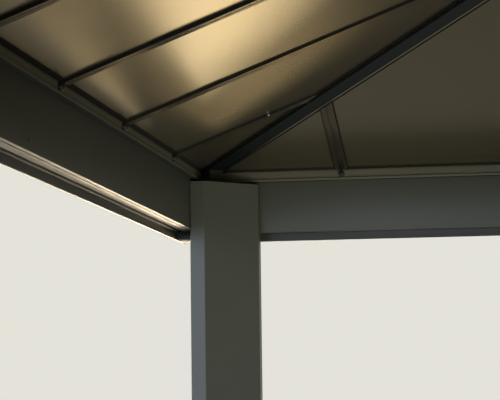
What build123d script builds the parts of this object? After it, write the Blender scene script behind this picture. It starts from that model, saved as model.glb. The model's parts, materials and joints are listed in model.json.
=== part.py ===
from build123d import *
import math
import os

# Metal garden gazebo: a square open frame on four posts under a hipped pyramid roof of sheet panels.
# The origin is on the floor under the centre, +Z is up, and the back is at +Y. Sizes are in millimetres.
# "Outward" is measured from the inner face of a beam, away from the middle of the gazebo.
# Heights of the frame are measured from the underside of the beams.

# Plan: the ribs set the span between the inner faces of opposite beams.
# Seen from inside, the first rib is at the left end of a slope and the last one at its right end.
rib_count = 6
rib_pitch = 490.0
first_rib = 326.0
last_rib = 342.0
head_room = 2000.0
edge_reach = 150.0
roof_pitch_deg = 21.03

# Clearances between fitted pieces
seat_gap = 0.3
mitre_gap = 0.25

# Posts: a square tube with the corner that faces the middle cut away
post_size = 137.7
post_flank = 32.8
post_rise = 105.0
post_wall = 3.0
post_corner_radius = 3.0

# Base plates, one under each post
plate_border = 41.15
plate_thickness = 8.0
plate_corner_radius = 12.0
anchor_edge = 18.0
anchor_hole = 11.0
socket_height = 60.0
socket_wall = 4.0

# Beams: a hollow box with the inner curtain track in its underside
beam_height = 113.0
beam_width = 31.0
beam_wall = 2.5
inner_track_offset = 9.0
inner_track_width = 2.0
track_depth = 9.0

# Outer rails: the outer curtain track, and a lip that hangs below the beam
outer_track_width = 8.0
rail_flange = 6.2
lip_thickness = 4.8
lip_drop = 17.8
rail_wall = 2.5

# Corner blocks under the rails
block_leg = 66.0

# Eave channels on the beams, which carry the roof panels
ledge_reach = 13.2
ledge_thickness = 5.5
channel_face = 9.0
channel_brow = 7.5
channel_step = 18.0
seal_depth = 8.0
seal_height = 2.0
channel_wall = 2.5

# Roof panels, and the ribs and seam caps along their joints
panel_rise = 136.7
panel_thickness = 1.2
seam_width = 6.0
rib_width = 28.0
rib_depth = 5.5
rib_stem = 4.0
rib_groove_offset = 12.0
rib_groove_width = 1.6
rib_groove_depth = 1.6
rib_foot = 12.3
seam_cap_width = 34.0
seam_cap_height = 12.0
seam_cap_wall = 2.0

# Hip rafters and hip caps
hip_width = 59.0
hip_box_width = 40.0
hip_box_depth = 13.5
hip_wing = 2.5
hip_web = 12.0
hip_panel_gap = 2.0
hip_cap_width = 96.0
hip_cap_ridge = 30.0
hip_cap_ridge_height = 9.0
hip_cap_thickness = 2.0

# Saddles that carry the feet of the hip rafters: a plug in the top of the post, and a block on it
saddle_plug = 6.0
saddle_width = 36.0
saddle_reach = 64.0

# Edge trim along the roof panels
trim_depth = 25.0
trim_wall = 2.0
trim_lap = 15.0
trim_return = 10.0

# Hub under the apex, and the cap over it
hub_reach = 70.0
hub_depth = 58.0
hub_chamfer = 10.0
apex_cap_half = 130.0
apex_cap_skirt = 22.0
apex_cap_rise = 62.0
apex_cap_wall = 2.5

# Values worked out from the driving dimensions
inner_span = first_rib + (rib_count - 1) * rib_pitch + last_rib
half_span = inner_span / 2
slope = math.tan(math.radians(roof_pitch_deg))
hip_slope = slope / math.sqrt(2)
panel_vertical = panel_thickness / math.cos(math.radians(roof_pitch_deg))
roof_half = half_span + edge_reach
plate_size = post_size + 2 * plate_border
anchor_pitch = plate_size - 2 * anchor_edge
post_top = head_room + post_rise
rail_inner = beam_width + seat_gap
rail_track = beam_width + outer_track_width
lip_inner = rail_track + rail_flange
lip_outer = lip_inner + lip_thickness
panel_edge = edge_reach - trim_wall - seat_gap
cap_edge = half_span + panel_edge - trim_lap
apex_height = head_room + panel_rise + slope * half_span
hip_panel_clear = hip_web / 2 + hip_panel_gap
rib_hip_clear = hip_width / 2 + seat_gap
seam_hip_clear = hip_cap_width / 2 + seat_gap
hip_foot = half_span - channel_face - seat_gap
far = 4 * roof_half
tall = 2 * apex_height
sides = ("back", "left", "front", "right")
corners = ("back_left", "front_left", "front_right", "back_right")


def underside(outward):
    """Height of the underside of the roof panels above the underside of the beams."""
    return panel_rise - slope * outward


def face_of(points):
    """A flat face inside a closed outline of points in the XY plane."""
    return make_face(Polyline(*points, close=True))


def column(points, low=0.0, high=tall):
    """An upright prism over a plan outline."""
    return extrude(Pos(0, 0, low) * face_of(points), amount=high - low)


def square(half, low=0.0, high=tall):
    """An upright square prism about the middle of the gazebo."""
    return column([(-half, -half), (half, -half), (half, half), (-half, half)], low, high)


def quadrant(half):
    """The back left quarter of an upright square prism."""
    return column([(0, 0), (0, half), (-half, half), (-half, 0)])


def back_wedge(clear):
    """The plan region of the back side, kept clear of the two hip lines by a distance square to them."""
    shift = clear * math.sqrt(2)
    return column([(0, shift), (far, far + shift), (-far, far + shift)], low=-head_room)


def side_section(points, low=-roof_half, high=roof_half):
    """A section drawn as outward and height, run along the back side."""
    plane = Plane(origin=(low, half_span, head_room), x_dir=(0, 1, 0), z_dir=(1, 0, 0))
    return extrude(plane * face_of(points), amount=high - low)


def mitred(points):
    """A section along the back side with its ends cut on the lines of the hips."""
    return side_section(points) & back_wedge(mitre_gap)


def turned(shape, quarter):
    """The same piece on another side: back, left, front and right are quarters 0 to 3."""
    return Rot(0, 0, 90 * quarter) * shape


def box_points(x0, z0, x1, z1):
    """The corners of a rectangle."""
    return [(x0, z0), (x1, z0), (x1, z1), (x0, z1)]


# Posts and their feet


def post_outline(inset=0.0):
    """Plan outline of the back left post, inset on every face."""
    x0 = -half_span + seat_gap + inset
    y0 = half_span - seat_gap - inset
    size = post_size - 2 * inset
    leg = post_size - post_flank - inset * (2 - math.sqrt(2))
    return [
        (x0, y0),
        (x0, y0 - size),
        (x0 + size - leg, y0 - size),
        (x0 + size, y0 - size + leg),
        (x0 + size, y0),
    ]


def post():
    """A square tube without its inner corner, from the base plate to just under the ledge."""
    body = column(post_outline(), plate_thickness, post_top)
    upright = body.edges().filter_by(Axis.Z)
    body = fillet(upright, post_corner_radius)
    return body - column(post_outline(post_wall), plate_thickness, post_top)


def base_plate():
    """A floor plate with four anchor holes and a socket that stands inside the post."""
    cx = -half_span + seat_gap + post_size / 2
    cy = half_span - seat_gap - post_size / 2
    outline = RectangleRounded(plate_size, plate_size, plate_corner_radius)
    for sx in (-1, 1):
        for sy in (-1, 1):
            outline -= Pos(sx * anchor_pitch / 2, sy * anchor_pitch / 2) * Circle(anchor_hole / 2)
    plate = extrude(Pos(cx, cy, 0) * outline, amount=plate_thickness)
    outer = post_wall + seat_gap
    socket = column(post_outline(outer), plate_thickness, plate_thickness + socket_height)
    socket -= column(post_outline(outer + socket_wall), plate_thickness, plate_thickness + socket_height)
    return plate + socket


# Beams, rails and channels of the frame


def beam():
    """A hollow box with one curtain track in its underside."""
    groove = inner_track_offset + inner_track_width
    shell = mitred(box_points(0, 0, beam_width, beam_height))
    hollow = box_points(beam_wall, track_depth + beam_wall, beam_width - beam_wall, beam_height - beam_wall)
    track = box_points(inner_track_offset, -track_depth, groove, track_depth)
    return shell - side_section(hollow) - side_section(track)


def rail():
    """Outer curtain track with the hanging lip; its top lies under the roof panels."""
    top_in = underside(rail_inner) - seat_gap
    top_out = underside(lip_outer) - seat_gap
    outline = [
        (rail_inner, track_depth),
        (rail_track, track_depth),
        (rail_track, 0),
        (lip_inner, 0),
        (lip_inner, -lip_drop),
        (lip_outer, -lip_drop),
        (lip_outer, top_out),
        (rail_inner, top_in),
    ]
    wall = rail_wall
    hollow = [
        (rail_inner + wall, track_depth + wall),
        (lip_outer - wall, track_depth + wall),
        (lip_outer - wall, underside(lip_outer - wall) - wall - seat_gap),
        (rail_inner + wall, underside(rail_inner + wall) - wall - seat_gap),
    ]
    return mitred(outline) - side_section(hollow)


def eave_channel():
    """Channel on the beam: a ledge inward, a face that leans back at its top, and a groove for the seal."""
    top = beam_height + ledge_thickness
    groove = seal_depth - channel_brow
    outline = [
        (-ledge_reach, beam_height),
        (-ledge_reach, top),
        (-channel_face, top),
        (-channel_face, beam_height + channel_step),
        (-channel_brow, underside(-channel_brow) - seal_height),
        (groove, underside(groove) - seal_height),
        (groove, underside(groove) - seat_gap),
        (beam_width, underside(beam_width) - seat_gap),
        (beam_width, beam_height),
    ]
    wall = channel_wall
    low = -channel_face + wall
    high = beam_width - wall
    hollow = [
        (low, top),
        (high, top),
        (high, underside(high) - seal_height - wall),
        (low, underside(low) - seal_height - wall),
    ]
    return mitred(outline) - side_section(hollow)


def corner_block():
    """Angle block that fills the corner of the rails between the beams and the hanging lips."""
    out = lip_inner - seat_gap
    x0 = -half_span
    y0 = half_span
    outline = [
        (x0 - out, y0 + out),
        (x0 - out, y0 - block_leg),
        (x0, y0 - block_leg),
        (x0, y0),
        (x0 + block_leg, y0),
        (x0 + block_leg, y0 + out),
    ]
    return column(outline, head_room - lip_drop, head_room - seat_gap)


# Roof panels and what joins them


def rib_places():
    """Places of the ribs along a side, measured from its middle."""
    return [first_rib + number * rib_pitch - half_span for number in range(rib_count)]


def slope_run(points, clear, foot):
    """A section across a rib, run up the back slope and cut upright at its foot and along the hips."""
    origin = (0, roof_half, head_room + underside(edge_reach))
    plane = Plane(origin=origin, x_dir=(1, 0, 0), z_dir=(0, -1, 0))
    run = extrude(plane * face_of(points), amount=far / 2, dir=(0, -1, slope))
    ahead = column([(-far, 0), (far, 0), (far, foot), (-far, foot)])
    return run & ahead & back_wedge(clear)


def roof_panels():
    """Flat sheets from edge to hips, one to a bay."""
    edges = [-roof_half] + rib_places() + [roof_half]
    outline = [
        (panel_edge, underside(panel_edge)),
        (panel_edge, underside(panel_edge) + panel_vertical),
        (-half_span, underside(-half_span) + panel_vertical),
        (-half_span, underside(-half_span)),
    ]
    sheets = []
    for number in range(rib_count + 1):
        low = edges[number] + (seam_width / 2 if number else 0)
        high = edges[number + 1] - (seam_width / 2 if number < rib_count else 0)
        sheets += (side_section(outline, low, high) & back_wedge(hip_panel_clear)).solids()
    return sheets


def rib_outline(place):
    """A flat channel under the seam, with a fine groove on the side of the nearer corner."""
    side = 1 if place > 0 else -1
    low = place - side * rib_width / 2
    high = place + side * rib_width / 2
    groove = high - side * rib_groove_offset
    far_groove = groove - side * rib_groove_width
    stem = side * rib_stem / 2
    return [
        (low, -seat_gap),
        (low, -rib_depth),
        (far_groove, -rib_depth),
        (far_groove, -rib_depth + rib_groove_depth),
        (groove, -rib_depth + rib_groove_depth),
        (groove, -rib_depth),
        (high, -rib_depth),
        (high, -seat_gap),
        (place + stem, -seat_gap),
        (place + stem, panel_vertical),
        (place - stem, panel_vertical),
        (place - stem, -seat_gap),
    ]


def ribs():
    """The ribs of one slope, each from the eave channel to the wing of a hip rafter."""
    pieces = []
    for place in rib_places():
        pieces += slope_run(rib_outline(place), rib_hip_clear, half_span - rib_foot).solids()
    return pieces


def seam_caps():
    """Hollow battens over the seams, on the outside of the roof."""
    pieces = []
    base = panel_vertical + seat_gap
    top = panel_vertical + seam_cap_height
    wall = seam_cap_wall
    for place in rib_places():
        low = place - seam_cap_width / 2
        high = place + seam_cap_width / 2
        outline = [
            (low, base),
            (low, top),
            (high, top),
            (high, base),
            (high - wall, base),
            (high - wall, top - wall),
            (low + wall, top - wall),
            (low + wall, base),
        ]
        pieces += slope_run(outline, seam_hip_clear, cap_edge).solids()
    return pieces


# Hips


def hip_run(points, foot):
    """A section across the back left hip, run up it to the middle and cut upright at its foot."""
    origin = (-roof_half, roof_half, head_room + underside(edge_reach))
    plane = Plane(origin=origin, x_dir=(1, 1, 0), z_dir=(1, -1, 0))
    run = extrude(plane * face_of(points), amount=far, dir=(1, -1, slope))
    return run & quadrant(foot)


def hub_outline(reach):
    """An octagon with one flat towards each hip."""
    return RegularPolygon(reach, 8, major_radius=False, rotation=22.5)


def hip_rafter():
    """A shallow hat section under the panels, with wings along both slopes and a web between them."""
    half = hip_width / 2
    box = hip_box_width / 2
    web = hip_web / 2
    outline = [
        (-half, -half * hip_slope - seat_gap),
        (-half, -half * hip_slope - hip_wing),
        (-box, -box * hip_slope - hip_wing),
        (-box, -hip_box_depth),
        (box, -hip_box_depth),
        (box, -box * hip_slope - hip_wing),
        (half, -half * hip_slope - hip_wing),
        (half, -half * hip_slope - seat_gap),
        (web, -web * hip_slope - seat_gap),
        (web, panel_vertical - web * hip_slope),
        (-web, panel_vertical - web * hip_slope),
        (-web, -web * hip_slope - seat_gap),
    ]
    hub_space = extrude(Pos(0, 0, head_room) * hub_outline(hub_reach + seat_gap), amount=apex_height)
    return hip_run(outline, hip_foot) - hub_space


def hip_cap():
    """Outside cover of a hip: two wings on the panels and a raised ridge."""
    half = hip_cap_width / 2
    ridge = hip_cap_ridge / 2
    low = panel_vertical + seat_gap
    thick = hip_cap_thickness
    crown = low + hip_cap_ridge_height
    outline = [
        (-half, low - half * hip_slope),
        (-half, low + thick - half * hip_slope),
        (-ridge, low + thick - ridge * hip_slope),
        (-ridge + thick, crown),
        (ridge - thick, crown),
        (ridge, low + thick - ridge * hip_slope),
        (half, low + thick - half * hip_slope),
        (half, low - half * hip_slope),
        (0, low),
    ]
    return hip_run(outline, cap_edge) - square(apex_cap_half + seat_gap)


def hip_saddle():
    """A plug in the top of the post, and a block on it, cut to the slope of the rafter's flat bottom."""
    plug = column(post_outline(post_wall + seat_gap), post_top - saddle_plug, post_top)
    half = saddle_width / 2
    below = box_points(-half, -tall, half, -hip_box_depth - seat_gap)
    block = hip_run(below, half_span - ledge_reach - seat_gap)
    leg = saddle_reach * math.sqrt(2)
    corner = [(-half_span, half_span), (-half_span, half_span - leg), (leg - half_span, half_span)]
    return plug + (block & column(corner, post_top))


# Edge trim, hub and apex cap


def edge_trim():
    """A channel that wraps the lower edge of the panels."""
    inner = panel_edge + seat_gap
    outer = edge_reach
    top = panel_vertical + seat_gap
    outline = [
        (inner, underside(inner) - trim_depth + trim_wall),
        (inner, underside(inner) + top),
        (inner - trim_lap, underside(inner - trim_lap) + top),
        (inner - trim_lap, underside(inner - trim_lap) + top + trim_wall),
        (outer, underside(outer) + top + trim_wall),
        (outer, underside(outer) - trim_depth),
        (inner - trim_return, underside(outer) - trim_depth),
        (inner - trim_return, underside(inner) - trim_depth + trim_wall),
    ]
    return mitred(outline)


def apex_hub():
    """Cast hub whose flats carry the heads of the four hip rafters."""
    top = apex_height - seat_gap
    low = apex_height - hub_depth
    body = extrude(Pos(0, 0, low) * hub_outline(hub_reach), amount=hub_depth)
    body = chamfer(body.faces().sort_by(Axis.Z)[0].edges(), hub_chamfer)
    roof = square(hub_reach, low, top)
    for quarter in range(4):
        slab = [
            (-half_span, underside(-half_span) - seat_gap),
            (0, underside(0) - seat_gap),
            (0, apex_height),
            (-half_span, apex_height),
        ]
        roof -= turned(side_section(slab), quarter)
    return body & roof


def pyramid(half, skirt, rise, base):
    """A square block with a low pyramid on it, from four quarters that meet on the lines of the hips."""
    outline = [(0, 0), (half, 0), (half, skirt), (0, skirt + rise)]
    plane = Plane(origin=(-half, 0, base), x_dir=(0, 1, 0), z_dir=(1, 0, 0))
    quarter = extrude(plane * face_of(outline), amount=2 * half) & back_wedge(0)
    return quarter + [turned(quarter, number) for number in (1, 2, 3)]


def apex_cap():
    """Square cap with a skirt that sits on the four panels, and a low pyramid over it."""
    inner_half = apex_cap_half - apex_cap_wall
    inner_rise = apex_cap_rise * inner_half / apex_cap_half
    inner_skirt = apex_cap_skirt + apex_cap_rise - inner_rise - apex_cap_wall
    low = apex_height - slope * inner_half + panel_vertical + seat_gap
    outer = pyramid(apex_cap_half, apex_cap_skirt, apex_cap_rise, low)
    return outer - pyramid(inner_half, inner_skirt, inner_rise, low)


def write(name, pieces):
    """One STEP file for a node, from one piece or from several that don't touch."""
    solids = pieces if isinstance(pieces, list) else pieces.solids()
    shape = solids[0] if len(solids) == 1 else Compound(solids)
    export_step(shape, f"parts/{name}.step")


def main():
    os.makedirs("parts", exist_ok=True)
    by_side = {
        "beam": beam(),
        "outer_rail": rail(),
        "eave_channel": eave_channel(),
        "edge_trim": edge_trim(),
    }
    rows_by_side = {
        "roof_panels": roof_panels(),
        "roof_ribs": ribs(),
        "seam_caps": seam_caps(),
    }
    by_corner = {
        "post": post(),
        "base_plate": base_plate(),
        "hip_rafter": hip_rafter(),
    }
    rows_by_corner = {
        "corner_blocks": corner_block(),
        "hip_saddles": hip_saddle(),
        "hip_caps": hip_cap(),
    }
    for quarter in range(4):
        for name, piece in by_side.items():
            write(f"{name}_{sides[quarter]}", turned(piece, quarter))
        for name, pieces in rows_by_side.items():
            write(f"{name}_{sides[quarter]}", [turned(piece, quarter) for piece in pieces])
        for name, piece in by_corner.items():
            write(f"{name}_{corners[quarter]}", turned(piece, quarter))
    for name, piece in rows_by_corner.items():
        rows = []
        for quarter in range(4):
            rows += turned(piece, quarter).solids()
        write(name, rows)
    write("apex_hub", apex_hub())
    write("apex_cap", apex_cap())


main()
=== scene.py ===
# %% [markdown]
# A metal garden gazebo, seen from below at one inside corner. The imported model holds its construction:
# posts, beams, rails, ribs, hips and roof sheets at their real size. This script gives every surface its
# finish, eases the edges that a die or a folder leaves round, adds seals and fasteners, and sets up the
# camera and the light.

# %% Load the frame
import json
import math

import bmesh
import bpy
from mathutils import Matrix, Vector
from mathutils.bvhtree import BVHTree


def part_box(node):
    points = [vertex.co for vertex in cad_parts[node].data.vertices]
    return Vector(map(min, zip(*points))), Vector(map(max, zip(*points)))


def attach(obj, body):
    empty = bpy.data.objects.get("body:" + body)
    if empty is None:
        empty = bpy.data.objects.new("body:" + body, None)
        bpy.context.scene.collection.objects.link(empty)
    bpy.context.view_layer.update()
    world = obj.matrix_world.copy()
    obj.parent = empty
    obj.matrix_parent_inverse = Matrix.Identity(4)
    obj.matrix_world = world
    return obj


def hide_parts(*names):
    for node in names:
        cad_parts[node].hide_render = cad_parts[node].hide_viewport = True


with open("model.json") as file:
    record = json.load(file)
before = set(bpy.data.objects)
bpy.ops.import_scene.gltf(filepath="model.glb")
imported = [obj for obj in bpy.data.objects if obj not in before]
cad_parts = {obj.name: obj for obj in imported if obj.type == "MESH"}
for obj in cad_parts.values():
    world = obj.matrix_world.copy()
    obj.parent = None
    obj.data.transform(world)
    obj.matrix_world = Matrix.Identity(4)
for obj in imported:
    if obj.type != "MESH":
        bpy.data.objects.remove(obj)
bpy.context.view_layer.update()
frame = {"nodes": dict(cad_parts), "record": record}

nodes = frame["nodes"]

# %% [markdown]
# Every place below is measured on the frame, so the pieces follow the model. Typed places would be shorter,
# but they would stay behind when a size changes. A box gives flat faces, and a ray gives what lies inside a
# box, such as a stepped face or the slope of a sheet. The gazebo has four like sides, so all is measured and
# made on the back side, where outward is +Y, and then turned.

# %% Rays and boxes
MM = 0.001
UP = Vector((0, 0, 1))
OUT = Vector((0, 1, 0))


def meet(node_name, start, direction):
    """The first point of a node on a ray."""
    mesh = nodes[node_name].data
    tree = BVHTree.FromPolygons([v.co for v in mesh.vertices], [p.vertices for p in mesh.polygons])
    return tree.ray_cast(Vector(start), direction)[0]


beam_low, beam_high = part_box("beam_back")
half = beam_low.y
head = beam_low.z
beam_top = beam_high.z
mid_bay = 0.0
slope_probe = 0.5
sheet_at_beam = meet("roof_panels_back", (mid_bay, half, head), UP).z
sheet_inward = meet("roof_panels_back", (mid_bay, half - slope_probe, head), UP).z
slope = (sheet_inward - sheet_at_beam) / slope_probe
print("half span", round(half, 4), "m, roof pitch", round(math.degrees(math.atan(slope)), 2), "degrees")


def sheet_height(y):
    """Height of the underside of the back slope."""
    return sheet_at_beam + slope * (half - y)


# %% [markdown]
# The six ribs of a slope are separate bars in one mesh. The editor can split such a mesh into loose parts,
# but only their places are needed, so the bars are told apart by walking along their edges, and each one's
# lowest and highest corners are kept.

# %% Rib places
weld = 0.01 * MM


def islands(node_name):
    """The low and high corners of each separate solid in a node, from left to right."""
    shape = bmesh.new()
    shape.from_mesh(nodes[node_name].data)
    bmesh.ops.remove_doubles(shape, verts=shape.verts, dist=weld)
    left = set(shape.verts)
    found = []
    while left:
        group, queue = [], [left.pop()]
        while queue:
            vert = queue.pop()
            group.append(vert.co.copy())
            for edge in vert.link_edges:
                other = edge.other_vert(vert)
                if other in left:
                    left.remove(other)
                    queue.append(other)
        low = Vector(min(p[axis] for p in group) for axis in range(3))
        high = Vector(max(p[axis] for p in group) for axis in range(3))
        found.append((low, high))
    shape.free()
    return sorted(found, key=lambda box: box[0].x)


ribs = islands("roof_ribs_back")
rib_places = [(low.x + high.x) / 2 for low, high in ribs]
rib_width = ribs[0][1].x - ribs[0][0].x
print("ribs at", [round(x, 3) for x in rib_places], "width", round(rib_width, 4))

# %% [markdown]
# Rays give how far a rib hangs below its sheet, and where the face of the eave channel stands. A rib's
# bottom has a fine groove near its middle, so the ray that measures it goes up beside the groove. The wings
# of a hip rafter lie beside the line of the hip. That line runs at 45 degrees in plan, so a corner's
# distance from it is the sum of its x and y over the square root of two.

# %% Rib drop, channel face and hip wings
beside_groove = 6 * MM
above_rib_foot = 20 * MM
above_beam = 10 * MM

probe_y = ribs[0][1].y - above_rib_foot
probe_start = (rib_places[0] + beside_groove, probe_y, head)
rib_drop = sheet_height(probe_y) - meet("roof_ribs_back", probe_start, UP).z
channel_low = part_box("eave_channel_back")[0]
channel_face = meet("eave_channel_back", (mid_bay, 0, beam_top + above_beam), OUT).y
hip_verts = nodes["hip_rafter_back_left"].data.vertices
wing_half = max(abs(v.co.x + v.co.y) for v in hip_verts) / math.sqrt(2)
print("a rib hangs", round(rib_drop / MM, 2), "mm below its sheet")
print("channel face", round((half - channel_face) / MM, 2), "mm inward of the beam")
print("hip wings reach", round(wing_half / MM, 2), "mm from the hip line")

# %% [markdown]
# The picture was taken with a long lens from a little under the beams, looking up by six degrees. A camera
# can be given as angles, or as three axes. Axes are used here, because yaw, pitch and roll then keep the
# meaning they have on a tripod. The place is counted from the inside corner where two beams meet.

# %% Camera
image_width = 500
lens_pixels = 2111.8
sensor = 36.0
corner = Vector((-half, half, head))
camera_offset = Vector((0.8591, -4.7264, -0.4323))
yaw = math.radians(8.956)
tilt = math.radians(6.042)
roll = math.radians(-0.698)


def aim(yaw, tilt, roll):
    """Camera axes as a rotation matrix: right, up and back are its columns."""
    forward = Vector((-math.sin(yaw) * math.cos(tilt), math.cos(yaw) * math.cos(tilt), math.sin(tilt)))
    level = Vector((math.cos(yaw), math.sin(yaw), 0))
    upright = level.cross(forward)
    right = level * math.cos(roll) + upright * math.sin(roll)
    up = upright * math.cos(roll) - level * math.sin(roll)
    return Matrix((right, up, -forward)).transposed()


camera_data = bpy.data.cameras.new("camera")
camera_data.sensor_width = sensor
camera_data.lens = lens_pixels * sensor / image_width
camera_data.clip_start = 0.05
camera_data.clip_end = 500
camera = bpy.data.objects.new("camera", camera_data)
bpy.context.scene.collection.objects.link(camera)
camera.matrix_world = Matrix.Translation(corner + camera_offset) @ aim(yaw, tilt, roll).to_4x4()
bpy.context.scene.camera = camera
bpy.context.scene.view_settings.view_transform = "Standard"
eye_height = camera.matrix_world.translation.z
print("lens", round(camera_data.lens, 1), "mm, eye height", round(eye_height, 3), "m")

# %% [markdown]
# Colours are written as sRGB hex values, the way a paint chart gives them, and turned to linear light here.
# One helper adds a shader node, sets its inputs and links them, so a material reads as a short list. A Mix
# node keeps sockets for several kinds of data, so its pair for colours is picked by number.

# %% Colour and node helpers
MIX_FIRST, MIX_SECOND, MIXED = 6, 7, 2


def linear(hex_text):
    """sRGB hex to a linear colour with alpha."""
    parts = [int(hex_text[i : i + 2], 16) / 255 for i in (1, 3, 5)]
    return tuple(v / 12.92 if v <= 0.04045 else ((v + 0.055) / 1.055) ** 2.4 for v in parts) + (1.0,)


def add(tree, kind, inputs=None, **settings):
    """Adds a node. An input is a value, or a socket of another node to link from."""
    node = tree.nodes.new(kind)
    for name, value in settings.items():
        setattr(node, name, value)
    for name, value in (inputs or {}).items():
        socket = node.inputs[name]
        if isinstance(value, bpy.types.NodeSocket):
            tree.links.new(value, socket)
        else:
            socket.default_value = value
    return node


def new_material(name):
    """An empty node material, ready for a surface."""
    material = bpy.data.materials.new(name)
    material.use_nodes = True
    material.node_tree.nodes.clear()
    return material, material.node_tree


def scale_of(size_mm):
    """The Scale of a noise whose patches are about this size."""
    return 1 / (size_mm * MM)


print("a patch of 2.4 mm has a scale of", round(scale_of(2.4), 1))

# %% [markdown]
# Powder coat on extruded aluminium: a polyester powder, sprayed dry and baked. It flows out to a satin skin
# with a very fine orange-peel, so highlights are broad and soft and the sheen rises at a low angle. One flat
# colour would look like plastic, so a noise of half a metre gives the faint drift of dust, and a fine one
# the orange-peel. Real orange-peel is about a millimetre, which is too fine to show in the picture, so it
# is drawn at 2.4 mm.

# %% Powder coat
dust_patch_mm = 455
peel_mm = 2.4
peel_depth = 0.02 * MM
clean_gloss = -0.06
dusty_gloss = 0.08
# The underside of the eave channel's ledge gets a painted shade: a darker colour, with a matt skin.
ledge_shade_colour = "#2b2b25"


def powder_coat(name, colour, dusty, roughness, shine, ledge_shade_below=None):
    """Satin powder coat with a little dust and a fine orange-peel. Shine is its specular level. Faces below
    the given height get a painted shade: a darker colour and a matt skin."""
    material, tree = new_material(name)
    place = add(tree, "ShaderNodeTexCoord").outputs["Object"]
    drift_look = {"Vector": place, "Scale": scale_of(dust_patch_mm), "Detail": 5.0, "Roughness": 0.62}
    drift = add(tree, "ShaderNodeTexNoise", drift_look).outputs["Fac"]
    film = {"Factor": drift, MIX_FIRST: linear(colour), MIX_SECOND: linear(dusty)}
    skin = add(tree, "ShaderNodeMix", film, data_type="RGBA").outputs[MIXED]
    peel = add(tree, "ShaderNodeTexNoise", {"Vector": place, "Scale": scale_of(peel_mm), "Detail": 2.0})
    relief = {"Strength": 0.3, "Distance": peel_depth, "Height": peel.outputs["Fac"]}
    bump = add(tree, "ShaderNodeBump", relief)
    range_of_gloss = {"Value": drift, "To Min": roughness + clean_gloss, "To Max": roughness + dusty_gloss}
    gloss = add(tree, "ShaderNodeMapRange", range_of_gloss).outputs["Result"]
    # Below that height the colour is mixed to a painted shade, and the skin is made matt.
    if ledge_shade_below is not None:
        height = add(tree, "ShaderNodeSeparateXYZ", {"Vector": place}).outputs["Z"]
        ledge_shade = add(tree, "ShaderNodeMath", {0: height, 1: ledge_shade_below}, operation="LESS_THAN").outputs[0]
        film = {"Factor": ledge_shade, MIX_FIRST: skin, MIX_SECOND: linear(ledge_shade_colour)}
        skin = add(tree, "ShaderNodeMix", film, data_type="RGBA").outputs[MIXED]
        gloss = add(tree, "ShaderNodeMath", {0: gloss, 1: ledge_shade}, operation="MAXIMUM").outputs[0]
    surface = {
        "Base Color": skin,
        "Roughness": gloss,
        "Specular IOR Level": shine,
        "Normal": bump.outputs["Normal"],
    }
    shader = add(tree, "ShaderNodeBsdfPrincipled", surface)
    add(tree, "ShaderNodeOutputMaterial", {"Surface": shader.outputs[0]})
    return material


# The last values printed are the painted shade colour under the ledge.
print("powder coat ready, dull film", [round(v, 4) for v in linear(ledge_shade_colour)[:3]])

# %% [markdown]
# The frame has a warm charcoal coat, and its rails, hips and outside trim have darker or greyer ones. The
# moulded nylon of the corner blocks and plugs gets the same recipe: a mould with a fine spark-eroded skin
# leaves a satin surface with a grain much like orange-peel, and it is blacker and a little rougher.

# %% Coats for the frame
channel_ledge = channel_low.z + 0.5 * MM

frame_paint = powder_coat("powder_coat_charcoal", "#404135", "#494a3d", 0.42, 0.24)
# The eave channel's coat is lighter and warmer than the frame's: painted light for the warm light that its
# face catches. Under its ledge it gets the painted shade.
channel_coat_lit_and_shaded = powder_coat("powder_coat_channel_lit_and_shaded", "#5a5744", "#5c5a48", 0.42, 0.12, channel_ledge)
rail_paint = powder_coat("powder_coat_rail", "#2b2b23", "#34342a", 0.40, 0.22)
hip_paint = powder_coat("powder_coat_dark", "#1b201f", "#232927", 0.42, 0.14)
roof_trim = powder_coat("powder_coat_roof_trim", "#35363a", "#42434a", 0.45, 0.4)
block_plastic = powder_coat("moulded_nylon_black", "#1f1f1e", "#2a2a28", 0.5, 0.3)
coats = (frame_paint, channel_coat_lit_and_shaded, rail_paint, hip_paint, roof_trim, block_plastic)
print("coats made:", [coat.name for coat in coats])

# %% [markdown]
# The roof sheets are thin steel with a baked bronze coil coating, a satin lacquer full of metal flakes. It is
# dark when one looks straight at it, and at a low angle it mirrors whatever lies beyond in long soft streaks.
# A varnish alone would mirror too little and a bare metal too much. A part-metal skin with a dark base colour
# and a pale warm edge tint gives both.

# %% Bronze roof sheet
stain_patch_mm = 625
flake_share = 0.65
wave_length_mm = 333
wave_height = 0.8 * MM
clean_sheet_gloss = -0.04
dusty_sheet_gloss = 0.05


def bronze_sheet(name, colour, worn, edge_tint, roughness):
    """Satin bronze lacquer on thin steel, with the slow waves that thin sheet keeps from its coil."""
    material, tree = new_material(name)
    place = add(tree, "ShaderNodeTexCoord").outputs["Object"]
    stain_look = {"Vector": place, "Scale": scale_of(stain_patch_mm), "Detail": 4.0, "Roughness": 0.55}
    stain = add(tree, "ShaderNodeTexNoise", stain_look).outputs["Fac"]
    film = {"Factor": stain, MIX_FIRST: linear(colour), MIX_SECOND: linear(worn)}
    lacquer = add(tree, "ShaderNodeMix", film, data_type="RGBA").outputs[MIXED]
    wave_look = {"Vector": place, "Scale": scale_of(wave_length_mm), "Detail": 1.0}
    wave = add(tree, "ShaderNodeTexNoise", wave_look)
    relief = {"Strength": 1.0, "Distance": wave_height, "Height": wave.outputs["Fac"]}
    bump = add(tree, "ShaderNodeBump", relief)
    low, high = roughness + clean_sheet_gloss, roughness + dusty_sheet_gloss
    gloss = add(tree, "ShaderNodeMapRange", {"Value": stain, "To Min": low, "To Max": high})
    surface = {
        "Base Color": lacquer,
        "Metallic": flake_share,
        "Specular Tint": linear(edge_tint),
        "Roughness": gloss.outputs["Result"],
        "Normal": bump.outputs["Normal"],
    }
    shader = add(tree, "ShaderNodeBsdfPrincipled", surface)
    add(tree, "ShaderNodeOutputMaterial", {"Surface": shader.outputs[0]})
    return material


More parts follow.
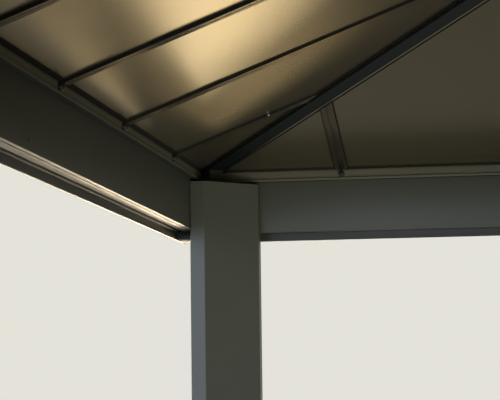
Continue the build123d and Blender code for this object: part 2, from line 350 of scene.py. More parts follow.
roof_sheet = bronze_sheet("coil_coated_bronze_steel", "#5f5845", "#555040", "#fff3dc", 0.25)
rib_sheet = bronze_sheet("folded_bronze_steel", "#4a4539", "#423e34", "#f4e4c6", 0.25)
print("sheet finishes made:", roof_sheet.name, rib_sheet.name)

# %% [markdown]
# The wings of a hip rafter are folded from the roof's bronze sheet, and its box is powder coated dark. The
# two finishes meet on a line along the hip. Splitting the mesh would need a cut, so one material chooses
# between them by the distance from the hip line, which in plan is the difference of the two coordinates over
# the square root of two.

# %% Hip finish
hip_box_half = 20.6 * MM
hip_stain_mm = 250
box_rough, wing_rough = 0.42, 0.28
box_shine = 0.12


def hip_finish():
    """Dark powder coat near the hip line, and bronze sheet beyond the edge of the box."""
    material, tree = new_material("dark_coat_and_bronze_steel")
    place = add(tree, "ShaderNodeTexCoord").outputs["Object"]
    axes = add(tree, "ShaderNodeSeparateXYZ", {"Vector": place}).outputs
    x, y = [add(tree, "ShaderNodeMath", {0: axes[a]}, operation="ABSOLUTE").outputs[0] for a in "XY"]
    gap = add(tree, "ShaderNodeMath", {0: x, 1: y}, operation="SUBTRACT").outputs[0]
    away = add(tree, "ShaderNodeMath", {0: gap}, operation="ABSOLUTE").outputs[0]
    box_edge = hip_box_half * math.sqrt(2)
    wing = add(tree, "ShaderNodeMath", {0: away, 1: box_edge}, operation="GREATER_THAN").outputs[0]
    stain_look = {"Vector": place, "Scale": scale_of(hip_stain_mm), "Detail": 4.0, "Roughness": 0.6}
    stain = add(tree, "ShaderNodeTexNoise", stain_look).outputs["Fac"]
    film = {"Factor": stain, MIX_FIRST: linear("#101412"), MIX_SECOND: linear("#161a18")}
    dark = add(tree, "ShaderNodeMix", film, data_type="RGBA").outputs[MIXED]
    film = {"Factor": stain, MIX_FIRST: linear("#857d69"), MIX_SECOND: linear("#7a7361")}
    bronze = add(tree, "ShaderNodeMix", film, data_type="RGBA").outputs[MIXED]
    film = {"Factor": wing, MIX_FIRST: dark, MIX_SECOND: bronze}
    skin = add(tree, "ShaderNodeMix", film, data_type="RGBA").outputs[MIXED]
    peel = add(tree, "ShaderNodeTexNoise", {"Vector": place, "Scale": scale_of(peel_mm), "Detail": 2.0})
    relief = {"Strength": 0.3, "Distance": peel_depth, "Height": peel.outputs["Fac"]}
    bump = add(tree, "ShaderNodeBump", relief)
    gloss = add(tree, "ShaderNodeMapRange", {"Value": wing, "To Min": box_rough, "To Max": wing_rough})
    surface = {
        "Base Color": skin,
        "Metallic": wing,
        "Roughness": gloss.outputs["Result"],
        "Specular IOR Level": box_shine,
        "Normal": bump.outputs["Normal"],
    }
    shader = add(tree, "ShaderNodeBsdfPrincipled", surface)
    add(tree, "ShaderNodeOutputMaterial", {"Surface": shader.outputs[0]})
    return material


hip_metal = hip_finish()
print("hip finish made:", hip_metal.name)

# %% [markdown]
# Three finishes for the small parts. EPDM rubber is pushed through a die and cured, which leaves a matt skin
# that scatters all the light it gets, so its shine is off. Screws dipped in a hot salt bath get a skin of
# black iron oxide, nearly as dark as the rubber but with a faint glint. Nuts and studs are bright zinc
# plated, a pale metal that glints clearly. Their real grain is too fine to show, so one of a millimetre and
# a half stands for it and keeps them from looking like flat paint.

# %% Rubber and fastener steel
grain_mm = 1.5
grain_depth = 0.01 * MM


def plain_finish(name, colour, worn, roughness, metallic=0.0, shine=0.5):
    """A small part's finish: two near colours and a fine grain. Shine is its specular level."""
    material, tree = new_material(name)
    place = add(tree, "ShaderNodeTexCoord").outputs["Object"]
    grain_look = {"Vector": place, "Scale": scale_of(grain_mm), "Detail": 3.0}
    grain = add(tree, "ShaderNodeTexNoise", grain_look).outputs["Fac"]
    film = {"Factor": grain, MIX_FIRST: linear(colour), MIX_SECOND: linear(worn)}
    skin = add(tree, "ShaderNodeMix", film, data_type="RGBA").outputs[MIXED]
    bump = add(tree, "ShaderNodeBump", {"Strength": 0.4, "Distance": grain_depth, "Height": grain})
    surface = {
        "Base Color": skin,
        "Metallic": metallic,
        "Roughness": roughness,
        "Specular IOR Level": shine,
        "Normal": bump.outputs["Normal"],
    }
    shader = add(tree, "ShaderNodeBsdfPrincipled", surface)
    add(tree, "ShaderNodeOutputMaterial", {"Surface": shader.outputs[0]})
    return material


# This dark rubber also makes the strips and beads that are painted shade along the eave, the ribs and the
# hips.
rubber_for_seals_and_shade = plain_finish("extruded_epdm_rubber_and_painted_shade", "#201f1a", "#2a2822", 0.9, shine=0.0)
black_steel = plain_finish("black_oxide_steel", "#24221f", "#2e2c28", 0.5, metallic=0.3, shine=0.3)
zinc_steel = plain_finish("bright_zinc_plated_steel", "#c9c8c0", "#a9a89f", 0.3, metallic=1.0)
print("small finishes made:", rubber_for_seals_and_shade.name, black_steel.name, zinc_steel.name)

# %% [markdown]
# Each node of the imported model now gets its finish. A list by full names would repeat every side, so the
# start of a name decides.

# %% Give each node its finish
finishes = {
    "beam": frame_paint,
    "eave_channel": channel_coat_lit_and_shaded,
    "post": frame_paint,
    "base_plate": frame_paint,
    "outer_rail": rail_paint,
    "hip_rafter": hip_metal,
    "hip_saddles": rail_paint,
    "apex_hub": hip_paint,
    "corner_blocks": block_plastic,
    "roof_panels": roof_sheet,
    "roof_ribs": rib_sheet,
    "seam_caps": roof_trim,
    "hip_caps": roof_trim,
    "edge_trim": roof_trim,
    "apex_cap": roof_trim,
}


def finish_for(node_name):
    """The finish whose name starts the node's name."""
    for start, material in finishes.items():
        if node_name.startswith(start):
            return material
    raise ValueError(f"no finish for {node_name}")


for node_name, thing in nodes.items():
    thing.data.materials.clear()
    thing.data.materials.append(finish_for(node_name))
print("finished", len(nodes), "nodes")

# %% [markdown]
# Every new piece is made in a bmesh, shaded smooth with its sharp edges kept, and hung on the frame. A
# modifier could find the sharp edges too, but marked edges stay with the mesh wherever it is taken.

# %% From a shape to a piece
smooth_angle = math.radians(35)


def smooth_by_angle(shape):
    """Smooth faces, with the edges over the smooth angle kept sharp."""
    for face in shape.faces:
        face.smooth = True
    for edge in shape.edges:
        edge.smooth = len(edge.link_faces) == 2 and edge.calc_face_angle(0) < smooth_angle


def make_piece(name, shape, material):
    """Turns a finished bmesh into an object that rides on the frame."""
    mesh = bpy.data.meshes.new(name)
    smooth_by_angle(shape)
    shape.to_mesh(mesh)
    shape.free()
    mesh.materials.append(material)
    thing = bpy.data.objects.new(name, mesh)
    bpy.context.scene.collection.objects.link(thing)
    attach(thing, "root")
    return thing


print("edges stay sharp over", round(math.degrees(smooth_angle)), "degrees")

# %% [markdown]
# No pressed or folded metal has a knife edge: an extrusion leaves its die with half a millimetre of radius,
# and folded sheet is rounder still. Those small rounds catch the light and draw the edges of the frame. A
# Bevel modifier could round a node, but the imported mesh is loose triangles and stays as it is. So a copy of
# each is welded, cleared of the lines inside flat faces and bevelled, and it stands in for its node.

# %% Eased copies of the solids
eased_radius_mm = {
    "beam": 0.8,
    "eave_channel": 0.6,
    "outer_rail": 0.6,
    "corner_blocks": 1.0,
    "hip_saddles": 1.0,
    "roof_ribs": 0.5,
    "base_plate": 1.0,
    "apex_hub": 1.5,
    "seam_caps": 0.6,
    "edge_trim": 0.6,
}
flat_angle = math.radians(0.5)
sharp_angle = math.radians(20)


def eased_copy(node_name, radius):
    """A bevelled copy of a node, which stands in for it."""
    shape = bmesh.new()
    shape.from_mesh(nodes[node_name].data)
    bmesh.ops.remove_doubles(shape, verts=shape.verts, dist=weld)
    bmesh.ops.dissolve_limit(shape, angle_limit=flat_angle, verts=shape.verts, edges=shape.edges)
    folds = [edge for edge in shape.edges if len(edge.link_faces) == 2]
    bmesh.ops.bevel(
        shape,
        geom=[edge for edge in folds if edge.calc_face_angle(0) > sharp_angle],
        offset=radius,
        segments=2,
        profile=0.5,
        affect="EDGES",
        clamp_overlap=True,
        material=-1,
    )
    return shape


eased = 0
for node_name in list(nodes):
    for start, radius_mm in eased_radius_mm.items():
        if node_name.startswith(start):
            shape = eased_copy(node_name, radius_mm * MM)
            copy = make_piece(node_name + "_eased", shape, finish_for(node_name))
            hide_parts(node_name)
            eased += 1
print("eased", eased, "nodes")

# %% [markdown]
# A seal or a plug starts as a flat outline that is pushed along, the way its maker pushes rubber through a
# die. A plane then cuts its ends where it meets a hip, and the cut is closed again. A small bevel rounds its
# edges. The same few operators shape nearly every piece that follows.

# %% Push, cut and ease


def prism(points, along):
    """A closed solid: a flat outline of points, pushed along a vector."""
    shape = bmesh.new()
    face = shape.faces.new([shape.verts.new(point) for point in points])
    pushed = bmesh.ops.extrude_face_region(shape, geom=[face])["geom"]
    verts = [item for item in pushed if isinstance(item, bmesh.types.BMVert)]
    bmesh.ops.translate(shape, vec=along, verts=verts)
    bmesh.ops.recalc_face_normals(shape, faces=shape.faces)
    return shape


def cut(shape, point, normal):
    """Cuts away what lies behind a plane, and closes the cut."""
    geom = shape.verts[:] + shape.edges[:] + shape.faces[:]
    bmesh.ops.bisect_plane(shape, geom=geom, plane_co=point, plane_no=normal, clear_inner=True)
    bmesh.ops.holes_fill(shape, edges=[edge for edge in shape.edges if edge.is_boundary])
    bmesh.ops.recalc_face_normals(shape, faces=shape.faces)


def ease(shape, radius):
    """Rounds every sharp edge of a small solid."""
    bmesh.ops.bevel(
        shape,
        geom=[edge for edge in shape.edges if edge.calc_face_angle(0) > sharp_angle],
        offset=radius,
        segments=2,
        profile=0.5,
        affect="EDGES",
        clamp_overlap=True,
        material=-1,
    )


trial = prism([(0, 0, 0), (1, 0, 0), (1, 1, 0), (0, 1, 0)], (0, 0, 1))
print("a pushed square has", len(trial.faces), "faces")
trial.free()

# %% [markdown]
# The four sides are alike, so each small piece is built once on the back side and turned by quarters, which
# is how a fitter works too: the same bag of seals and screws for each side. Linked copies would share one
# mesh, but each piece needs its place in its own mesh, so the shape is copied and turned.

# %% Join and turn
sides = ("back", "left", "front", "right")
corner_names = ("back_left", "front_left", "front_right", "back_right")
hands = {"left": -1, "right": 1}


def join(shape, other, matrix=Matrix()):
    """Adds a bmesh to another, moved by a matrix, and frees the added one."""
    mesh = bpy.data.meshes.new("joined")
    other.to_mesh(mesh)
    other.free()
    mesh.transform(matrix)
    shape.from_mesh(mesh)
    bpy.data.meshes.remove(mesh)


def quarter_turn(number):
    """Turns by quarters from the back side to the left, the front and the right."""
    return Matrix.Rotation(math.radians(90 * number), 4, "Z")


def four_pieces(name, shape, material, ends=sides):
    """Four like pieces, one to each side or corner, by quarter turns about the middle of the gazebo."""
    for number, end in enumerate(ends):
        piece = bmesh.new()
        join(piece, shape.copy(), quarter_turn(number))
        make_piece(f"{name}_{end}", piece, material)
    print(name, "made, faces in each:", len(shape.faces))
    shape.free()


def under_sheet(x, y, drop):
    """A point below the underside of the back slope."""
    return Vector((x, y, sheet_height(y) - drop))


print("helpers ready for", len(sides), "sides and", len(corner_names), "corners")

# %% [markdown]
# A black EPDM strip lies in the groove between the eave channel and each sheet, and its soft lip comes out
# past the channel's face. The dark lip is painted shade: it draws the shadow line along the eave. The strip
# keeps the sheet from drumming on the metal. One long strip would run through the ribs, so a strip runs
# from rib to rib, and the end ones are mitred at the hips.

# %% Eave seals and shade line
seal_and_shade_reach = 15.6 * MM
seal_back = 0.3 * MM
seal_thickness = 1.3 * MM
seal_round = 0.5 * MM
sheet_clear = 0.15 * MM
side_clear = 0.3 * MM
rib_shade_seal_width = 1.2 * MM
rib_room = rib_width / 2 + side_clear + rib_shade_seal_width + side_clear
rib_sides = [(x - rib_room, x + rib_room) for x in rib_places]
bays = list(zip([-half] + [high for _, high in rib_sides], [low for low, _ in rib_sides] + [half]))


def cut_at_hips(strip):
    """Mitres a strip of the back side, a little clear of the wings of both hip rafters."""
    for hand in hands.values():
        off_hip = Vector((-hand, 1, 0)).normalized()
        cut(strip, off_hip * (wing_half + side_clear), off_hip)


eave_seals_and_shade = bmesh.new()
for low, high in bays:
    section = [
        under_sheet(low, half + seal_back, seal_thickness),
        under_sheet(low, half - seal_and_shade_reach, seal_thickness),
        under_sheet(low, half - seal_and_shade_reach, sheet_clear),
        under_sheet(low, half + seal_back, sheet_clear),
    ]
    strip = prism(section, (high - low, 0, 0))
    ease(strip, seal_round)
    cut_at_hips(strip)
    join(eave_seals_and_shade, strip)
four_pieces("eave_seal_and_shade", eave_seals_and_shade, rubber_for_seals_and_shade)

# %% [markdown]
# A narrow strip of the same black rubber stands along both sides of each rib, from the sheet down to a hair
# above the rib's bottom. It is painted shade: a dark solid where the side of a rib lies in shadow, so that
# the side looks black beside its bright bottom. A dark line in the material could draw it from below, but
# not from the side, so it is a solid: its outline is pushed up the slope and cut off at the hips.

# %% Rib shade strips
rib_shade_seal_depth = rib_drop - 0.3 * MM
rib_shade_seal_round = 0.3 * MM
rib_shade_seal_foot = channel_face - 0.2 * MM
rib_shade_seal_gap = 0.1 * MM

rib_shade_seals = bmesh.new()
for x in rib_places:
    for hand in hands.values():
        near = x + hand * (rib_width / 2 + rib_shade_seal_gap)
        far = near + hand * rib_shade_seal_width
        section = [
            under_sheet(near, rib_shade_seal_foot, sheet_clear),
            under_sheet(far, rib_shade_seal_foot, sheet_clear),
            under_sheet(far, rib_shade_seal_foot, rib_shade_seal_depth),
            under_sheet(near, rib_shade_seal_foot, rib_shade_seal_depth),
        ]
        strip = prism(section, Vector((0, -1, slope)) * rib_shade_seal_foot)
        ease(strip, rib_shade_seal_round)
        cut_at_hips(strip)
        join(rib_shade_seals, strip)
four_pieces("rib_shade_seals", rib_shade_seals, rubber_for_seals_and_shade)

# %% [markdown]
# The same rubber closes the joint between a sheet and the wing of a hip rafter. Its dark face is also
# painted shade: it draws the shadow line beside the bright edge of the wing. A curve with a round bevel would
# sink into the sloping sheet, so a flat outline is pushed up along the hip, and then cut at the eave, at the
# hub and at each rib.

# %% Hip beads and shade line
bead_width = 6.0 * MM
bead_thickness = 1.5 * MM
bead_round = 0.4 * MM
bead_outline = (
    (0, sheet_clear),
    (0, bead_thickness),
    (bead_width, bead_thickness),
    (bead_width, sheet_clear),
)
hub_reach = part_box("apex_hub")[1].x


def hip_shade_bead(hand, low, high):
    """The bead on the back slope, beside the hip of one hand, between two places in the width."""
    section = []
    for across, drop in bead_outline:
        away = (wing_half + side_clear + across) / math.sqrt(2)
        section.append(under_sheet(hand * (half - away), half + away, drop))
    bead = prism(section, Vector((-hand, -1, slope)) * half)
    ease(bead, bead_round)
    cut(bead, OUT * (half - seal_and_shade_reach - side_clear), -OUT)
    to_corner = Vector((hand, 1, 0)).normalized()
    cut(bead, to_corner * (hub_reach + side_clear), to_corner)
    cut(bead, Vector((low, 0, 0)), Vector((1, 0, 0)))
    cut(bead, Vector((high, 0, 0)), Vector((-1, 0, 0)))
    return bead


hip_shade_beads = bmesh.new()
for hand in hands.values():
    for low, high in bays:
        join(hip_shade_beads, hip_shade_bead(hand, low, high))
four_pieces("hip_shade_bead", hip_shade_beads, rubber_for_seals_and_shade)

# %% [markdown]
# Screws come from a screw machine, so a head is an outline turned about its axis. For a pan head it is a
# quarter of an ellipse, with a socket in the middle. A boolean could cut the six sides of the socket, but
# it leaves slivers in a part this small, so the points of a round socket are moved in to the flats of a
# hexagon instead.

# %% Pan heads
head_steps = 24
head_sink = 0.4 * MM
dome_steps = 6
rim_share = 0.3
socket_floor_share = 0.35
socket_margin = 1.02


def revolved(points):
    """A solid of revolution about Z from (radius, height) points that begin and end on the axis."""
    shape = bmesh.new()
    verts = [shape.verts.new((radius, 0, height)) for radius, height in points]
    edges = [shape.edges.new(pair) for pair in zip(verts, verts[1:])]
    bmesh.ops.spin(
        shape,
        geom=verts + edges,
        cent=(0, 0, 0),
        axis=(0, 0, 1),
        angle=math.radians(360),
        steps=head_steps,
        use_merge=True,
    )
    bmesh.ops.remove_doubles(shape, verts=shape.verts, dist=0.1 * weld)
    bmesh.ops.recalc_face_normals(shape, faces=shape.faces)
    return shape


def pan_head(radius, height, socket=0.42):
    """A domed head with a six-sided socket. The socket's size is a share of the head's."""
    rim = rim_share * height
    key = socket * radius
    points = [(0, -head_sink), (radius, -head_sink), (radius, rim)]
    for part in range(1, dome_steps + 1):
        angle = math.radians(90 * part / dome_steps)
        points.append((key + (radius - key) * math.cos(angle), rim + (height - rim) * math.sin(angle)))
    socket_floor = socket_floor_share * height
    points += [(key, socket_floor), (0, socket_floor)]
    shape = revolved(points)
    for vert in shape.verts:
        if vert.co.z > rim and vert.co.xy.length < socket_margin * key:
            turn = math.atan2(vert.co.y, vert.co.x) % math.radians(60)
            share = math.cos(math.radians(30)) / math.cos(turn - math.radians(30))
            vert.co.x *= share
            vert.co.y *= share
    return shape


def set_screws(head_shape, places, facing):
    """Copies of a head at each place, with its axis turned to face one way."""
    turn = Vector(facing).to_track_quat("Z", "Y").to_matrix().to_4x4()
    shape = bmesh.new()
    for place in places:
        join(shape, head_shape.copy(), Matrix.Translation(place) @ turn)
    head_shape.free()
    return shape


print("pan heads ready, steps round each:", head_steps)

# %% [markdown]
# A roofing screw is a hexagon on a round flange, with a rubber washer under it. A nut is the same hexagon.
# The flange and the washer are turned, and the hexagon is a circle of six points, pushed up, with the edges
# of its top chamfered as a spanner needs them.

# %% Roofing heads and nuts
roofing_flats = 8 * MM
roofing_rise = 5 * MM
roofing_chamfer = 0.5 * MM
flange_radius = 0.72 * roofing_flats
washer_radius = 0.9 * roofing_flats
rubber_thick = 1.2 * MM


def hexagon(across_flats, low, high, chamfer):
    """An upright hexagon with its top edges chamfered."""
    shape = bmesh.new()
    made = bmesh.ops.create_circle(shape, cap_ends=True, segments=6, radius=across_flats / math.sqrt(3))
    bmesh.ops.translate(shape, vec=(0, 0, low), verts=made["verts"])
    pushed = bmesh.ops.extrude_face_region(shape, geom=shape.faces[:])["geom"]
    verts = [item for item in pushed if isinstance(item, bmesh.types.BMVert)]
    bmesh.ops.translate(shape, vec=(0, 0, high - low), verts=verts)
    bmesh.ops.recalc_face_normals(shape, faces=shape.faces)
    top = [edge for edge in shape.edges if all(vert.co.z > high - weld for vert in edge.verts)]
    bmesh.ops.bevel(shape, geom=top, offset=chamfer, segments=1, profile=0.5, affect="EDGES", material=-1)
    return shape


def roofing_head():
    """A hexagon on a round flange, on a rubber washer."""
    washer = [
        (0, -head_sink),
        (washer_radius, -head_sink),
        (washer_radius, rubber_thick),
        (flange_radius, 1.3 * rubber_thick),
        (0, 1.3 * rubber_thick),
    ]
    flange = [
        (0, rubber_thick),
        (flange_radius, rubber_thick),
        (flange_radius, 2 * rubber_thick),
        (0.8 * flange_radius, 2.6 * rubber_thick),
        (0, 2.6 * rubber_thick),
    ]
    # The rubber is squeezed up inside the flange's edge, and the flange rises in a shallow cone.
    shape = revolved(washer)
    join(shape, revolved(flange))
    join(shape, hexagon(roofing_flats, 2 * rubber_thick, rubber_thick + roofing_rise, roofing_chamfer))
    return shape


print("roofing heads ready,", round(2 * washer_radius / MM, 1), "mm over the washer")

# %% [markdown]
# Inside, a dark pan head for each rib holds the rib's foot to the eave channel. On the back and the front it
# sits straight below the rib, and on the left and the right a little to one side, so these four pieces can't
# be plain turns of one another, and each side's screws are set before they are turned.

# %% Rib foot screws
inward = -OUT
foot_screw_height = 127.5 * MM
foot_screw_aside = {"back": 0, "left": 32 * MM, "front": 0, "right": 32 * MM}
foot_screw_radius, foot_screw_rise = 6.8 * MM, 8.5 * MM

for number, side in enumerate(sides):
    aside = foot_screw_aside[side]
    places = [Vector((x - aside, channel_face, head + foot_screw_height)) for x in rib_places]
    foot_screws = set_screws(pan_head(foot_screw_radius, foot_screw_rise), places, inward)
    bmesh.ops.transform(foot_screws, matrix=quarter_turn(number), verts=foot_screws.verts)
    make_piece(f"rib_foot_screws_{side}", foot_screws, black_steel)
print("rib_foot_screws made, heads on each side:", len(rib_places))

# %% [markdown]
# Two low heads sit in each beam just past its middle and hold the stiffener inside it. They were coated with
# the beam, so they share its paint and show only by their small shadows. A dark dot in the paint would do
# from afar, but light from the side asks for real heads.

# %% Beam screws
splice_aside = 43 * MM
splice_heights = (17 * MM, 81 * MM)
splice_radius, splice_rise = 3.4 * MM, 1.5 * MM

splice_places = [Vector((splice_aside, half, head + z)) for z in splice_heights]
splice_screws = set_screws(pan_head(splice_radius, splice_rise), splice_places, inward)
four_pieces("beam_screws", splice_screws, frame_paint)

# %% [markdown]
# One bright screw pins each slope's last rib through its side, and a small dark one stands on each side of
# the hip boxes. A head is modelled with its axis up, so each is first turned to face out of the side that
# its screw is driven into.

# %% Rib pins and hip screws
pin_inward = 212.5 * MM
pin_drop = 2.9 * MM
pin_radius, pin_rise = 2.5 * MM, 1.8 * MM
pin_side = rib_places[-1] - rib_width / 2 - rib_shade_seal_width
pin_place = under_sheet(pin_side, half - pin_inward, pin_drop)
pin = set_screws(pan_head(pin_radius, pin_rise), [pin_place], (-1, 0, 0))
four_pieces("rib_pin", pin, zinc_steel)

hip_box_side = 20 * MM
hip_screw_along = 306 * MM
hip_screw_drop = 10.7 * MM
hip_screw_radius, hip_screw_rise = 2.3 * MM, 1.6 * MM
hip_screws = bmesh.new()
along = half - hip_screw_along
hip_place = Vector((-along, along, sheet_height(along) - hip_screw_drop))
for way in (-1, 1):
    across = Vector((way, way, 0)).normalized()
    place = hip_place + across * hip_box_side
    join(hip_screws, set_screws(pan_head(hip_screw_radius, hip_screw_rise), [place], across))
four_pieces("hip_screws", hip_screws, black_steel, corner_names)

# %% [markdown]
# The gazebo stands on anchors. Each base plate has four: a threaded stud set in the slab, a washer and a
# chamfered nut. These are below the picture, and their places come from the holes that the record states. A
# thread would be finer than a pixel here, so a stud is a plain turned rod with a chamfered tip.

# %% Anchors
anchor = next(row for row in frame["record"]["mounts"] if row["name"] == "anchors_back_left")
anchor_centre = Vector(anchor["pos_m"])
anchor_half = anchor["dims"]["spacing_x_mm"] * MM / 2
beside_hole = 12 * MM
over_plate = 0.5
plate_probe = anchor_centre + Vector((anchor_half - beside_hole, anchor_half, over_plate))
plate_top = meet("base_plate_back_left", plate_probe, -UP).z
slab_gap = 0.5 * MM
anchor_washer_radius = 10 * MM
washer_top = 2 * MM
nut_flats = 17 * MM
nut_top = washer_top + 8 * MM
nut_chamfer = 1 * MM
stud_radius = 5 * MM
stud_top = nut_top + 7 * MM
stud_tip = 1 * MM

washer_outline = [
    (0, 0),
    (anchor_washer_radius, 0),
    (anchor_washer_radius, washer_top - 0.3 * MM),
    (anchor_washer_radius - 0.4 * MM, washer_top),
    (0, washer_top),
]
stud_outline = [
    (0, slab_gap - plate_top),
    (stud_radius, slab_gap - plate_top),
    (stud_radius, stud_top - stud_tip),
    (stud_radius - stud_tip, stud_top),
    (0, stud_top),
]
anchors = bmesh.new()
for x in (-anchor_half, anchor_half):
    for y in (-anchor_half, anchor_half):
        place = Matrix.Translation((anchor_centre.x + x, anchor_centre.y + y, plate_top))
        join(anchors, revolved(washer_outline), place)
        join(anchors, hexagon(nut_flats, washer_top, nut_top, nut_chamfer), place)
        join(anchors, revolved(stud_outline), place)
four_pieces("anchor_bolts", anchors, zinc_steel, corner_names)

# %% [markdown]
# Two flanged screws in each outer face fix a post to the socket inside it. The second outer face is the
# first one mirrored about the diagonal of the gazebo, so a place's x and y change over and change sign.

# %% Post foot screws
post_low, post_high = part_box("post_back_left")
socket_screw_rise = 36 * MM
socket_screw_half = 35 * MM
post_mid = (post_low.x + post_high.x) / 2
foot_height = post_low.z + socket_screw_rise
pair = (-socket_screw_half, socket_screw_half)

back_places = [Vector((post_mid + x, post_high.y, foot_height)) for x in pair]
side_places = [Vector((post_low.x, -place.x, place.z)) for place in back_places]
foot_heads = set_screws(roofing_head(), back_places, OUT)
join(foot_heads, set_screws(roofing_head(), side_places, (-1, 0, 0)))
four_pieces("post_foot_screws", foot_heads, black_steel, corner_names)

# %% [markdown]
# Outside, a moulded plug closes the open foot of each seam cap against wasps and rain. It is the inside of
# the cap's section, pushed up the slope for a few millimetres, so it is measured on the cap and the sheet.

# %% Seam cap plugs
over_roof = 5.0
cap_wall = 2.3 * MM
plug_set_back = 1.0 * MM
plug_length = 6 * MM
plug_round = 0.6 * MM
plug_lift = 0.4 * MM


def on_top(node_name, x, y):
    """The top surface of a node at a place, from above."""
    return meet(node_name, (x, y, over_roof), -UP)


cap_low, cap_high = islands("seam_caps_back")[0]
cap_foot = cap_high.y - plug_set_back
cap_half = (cap_high.x - cap_low.x) / 2
plug_top = on_top("seam_caps_back", (cap_low.x + cap_high.x) / 2, cap_foot).z - cap_wall
plug_base = on_top("roof_panels_back", mid_bay, cap_foot).z + plug_lift

plugs = bmesh.new()
for x in rib_places:
    low_x, high_x = x - cap_half + cap_wall, x + cap_half - cap_wall
    section = [
        (low_x, cap_foot, plug_base),
        (low_x, cap_foot, plug_top),
        (high_x, cap_foot, plug_top),
        (high_x, cap_foot, plug_base),
    ]
    plug = prism(section, Vector((0, -1, slope)) * plug_length)
    ease(plug, plug_round)
    join(plugs, plug)
four_pieces("seam_cap_plugs", plugs, block_plastic)

# %% [markdown]
# Roofing screws with rubber washers hold the seam caps and the wings of the hip caps, in rows at an even
# step from the eave upwards. A ray from above finds the surface under each one, and its axis stands square
# to the slope, as a roofer drives it. The rows end where the caps come together.

# %% Roof cap screws
slope_out = Vector((0, slope, 1)).normalized()
cap_screw_step = 420 * MM
first_cap_screw = 60 * MM
hip_room = 120 * MM

cap_places = []
for x in rib_places:
    y = cap_high.y - first_cap_screw
    while y > abs(x) + hip_room:
        cap_places.append(on_top("seam_caps_back", x, y))
        y -= cap_screw_step
cap_screws = set_screws(roofing_head(), cap_places, slope_out)
four_pieces("seam_cap_screws", cap_screws, black_steel)

hip_cap_across = 34 * MM
hip_cap_away = hip_cap_across / math.sqrt(2)
hip_cap_start = half + 80 * MM
hip_cap_end = 300 * MM

hip_cap_places = []
for hand in hands.values():
    along = hip_cap_start
    while along > hip_cap_end:
        hip_cap_places.append(on_top("hip_caps", hand * (along - hip_cap_away), along + hip_cap_away))
        along -= cap_screw_step
hip_cap_screws = set_screws(roofing_head(), hip_cap_places, slope_out)
four_pieces("hip_cap_screws", hip_cap_screws, black_steel)

# %% [markdown]
# The skirt of the apex cap is held by two roofing screws on each side, driven level. Flat rivets hold the
# edge trim on the sheets: a rivet is a pan head so low that only a glint of its rim shows.

# %% Apex screws and trim rivets
apex_low, apex_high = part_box("apex_cap")
skirt_screw_rise = 10 * MM
skirt_screw_half = 65 * MM
skirt_height = apex_low.z + skirt_screw_rise
skirt_places = [Vector((x, apex_high.y, skirt_height)) for x in (-skirt_screw_half, skirt_screw_half)]
skirt_screws = set_screws(roofing_head(), skirt_places, OUT)
four_pieces("apex_screws", skirt_screws, black_steel)

trim_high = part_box("edge_trim_back")[1]
rivet_inset = 8 * MM
rivet_steps = 8
rivet_end = 100 * MM
rivet_span = 2 * (half - rivet_end)
rivet_radius, rivet_rise, rivet_dimple = 3.6 * MM, 1.3 * MM, 0.3
rivet_places = []
for number in range(rivet_steps + 1):
    x = rivet_span * (number / rivet_steps - 0.5)
    rivet_places.append(on_top("edge_trim_back", x, trim_high.y - rivet_inset))
rivets = set_screws(pan_head(rivet_radius, rivet_rise, rivet_dimple), rivet_places, slope_out)
four_pieces("trim_rivets", rivets, roof_trim)

# %% [markdown]
# The floor is a plain pale one, as in a painted studio. A small plane would end inside some views, so it
# runs past the horizon. Matt floor paint scatters light evenly, with the faint speckle that a roller leaves.
# A roller's speckle is a few millimetres, which wouldn't show at this distance, so it is drawn at 25 mm.

# %% Floor
floor_half = 150
speckle_mm = 25

floor_mesh = bpy.data.meshes.new("floor")
floor_shape = bmesh.new()
bmesh.ops.create_grid(floor_shape, x_segments=1, y_segments=1, size=floor_half)
floor_shape.to_mesh(floor_mesh)
floor_shape.free()
floor = bpy.data.objects.new("floor", floor_mesh)
bpy.context.scene.collection.objects.link(floor)
floor_material, tree = new_material("rolled_matt_floor_paint")
place = add(tree, "ShaderNodeTexCoord").outputs["Object"]
speckle = add(tree, "ShaderNodeTexNoise", {"Vector": place, "Scale": scale_of(speckle_mm), "Detail": 4.0})
film = {"Factor": speckle.outputs["Fac"], MIX_FIRST: linear("#d2d1cc"), MIX_SECOND: linear("#d4d3ce")}
pale = add(tree, "ShaderNodeMix", film, data_type="RGBA").outputs[MIXED]
floor_shader = add(tree, "ShaderNodeBsdfPrincipled", {"Base Color": pale, "Roughness": 0.9})
add(tree, "ShaderNodeOutputMaterial", {"Surface": floor_shader.outputs[0]})
floor_mesh.materials.append(floor_material)
print("floor made,", 2 * floor_half, "m wide")

# %% [markdown]
# The world is a pale backdrop on every side. At one strength it would either look grey or drown the lamps,
# so Light Path tells the rays apart: the camera and the reflections see it bright, and it gives the object
# itself less light.

# %% World
world_light = 0.39
world_seen = 0.86

world = bpy.data.worlds.new("studio")
bpy.context.scene.world = world
world.use_nodes = True
tree = world.node_tree
tree.nodes.clear()
path = add(tree, "ShaderNodeLightPath").outputs
rays = {0: path["Is Camera Ray"], 1: path["Is Glossy Ray"]}
seen = add(tree, "ShaderNodeMath", rays, operation="MAXIMUM").outputs[0]
levels = {"Value": seen, "To Min": world_light, "To Max": world_seen}
level = add(tree, "ShaderNodeMapRange", levels).outputs["Result"]
backdrop = {"Color": linear("#f4f2e8"), "Strength": level}
background = add(tree, "ShaderNodeBackground", backdrop)
add(tree, "ShaderNodeOutputWorld", {"Surface": background.outputs[0]})
print("world made, light", world_light, "and seen", world_seen)

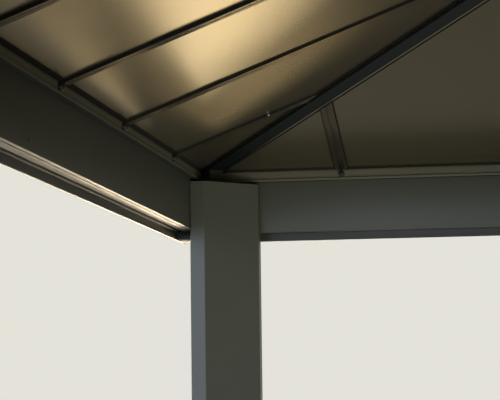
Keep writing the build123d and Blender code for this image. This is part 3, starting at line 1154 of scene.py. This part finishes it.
# %% [markdown]
# Nine soft rectangles of light. The roof sheets are seen at a very low angle, so they mirror what stands low
# beyond the back beam: four warm lamps there draw the bright streaks. A grid keeps a real softbox from
# spilling sideways, and the spread of a lamp does the same. Cool light from the left and from far behind
# the camera models the post and the beams, and weak lamps to the right, low in front and under the corner
# open the shadows. Sun lamps would be simpler, but a sharp light draws hard shadows and small hot spots.

# %% Lamps
grid = 70
narrow_grid = 45


def lamp(name, spot, target, size, radiance, colour="#ffffff", spread=180):
    """A soft rectangle of light. Its power follows from its size and how bright it should look."""
    data = bpy.data.lights.new(name, "AREA")
    data.shape = "RECTANGLE"
    data.size, data.size_y = size
    data.spread = math.radians(spread)
    data.energy = radiance * math.pi * size[0] * size[1]
    data.color = linear(colour)[:3]
    thing = bpy.data.objects.new(name, data)
    thing.location = spot
    thing.rotation_euler = (Vector(target) - Vector(spot)).to_track_quat("-Z", "Y").to_euler()
    thing.visible_camera = False
    bpy.context.scene.collection.objects.link(thing)
    return thing


# Each has its place, the point it is aimed at, its width and height, how bright it is, and its colour.
lamps = [
    lamp("low_beyond", (-1.12, 7.6, 0.95), (-1.12, 0.6, 2.5), (1.65, 1.3), 0.8, "#ffedc8", grid),
    lamp("low_near", (-0.95, 5.4, 0.3), (-1.1, 0.4, 2.35), (0.6, 0.5), 1.0, "#ffe6b4", grid),
    lamp("beyond_post", (-2.3, 7.6, 0.45), (-1.6, 0.6, 2.4), (0.7, 0.7), 0.35, "#ffe6b4", grid),
    lamp("beyond_left", (-3.1, 7.6, 1.3), (-2.6, 0.6, 2.7), (2.7, 0.6), 5.0, "#ffe8c4", grid),
    lamp("left_side", (-7.5, -0.5, 2.0), (-1.5, 1.4, 1.4), (2.4, 2.4), 16.0, "#dfe8ff"),
    lamp("behind_camera", (-3.4, -8.0, 2.1), (-1.55, 1.5, 1.8), (2.0, 1.6), 46.0, "#c8d6ff"),
    lamp("right_side", (7.0, 1.5, 2.6), (-1.4, 1.5, 1.8), (2.4, 1.2), 2.1, "#f4f6ff"),
    lamp("front_low", (-1.6, -5.5, 0.9), (-0.8, 1.5, 2.1), (4.0, 1.4), 0.4),
    lamp("corner_fill", (-0.3, -0.5, 0.9), (-1.5, 1.55, 2.15), (1.2, 1.2), 0.65, spread=narrow_grid),
]
print("lamps set:", len(lamps))
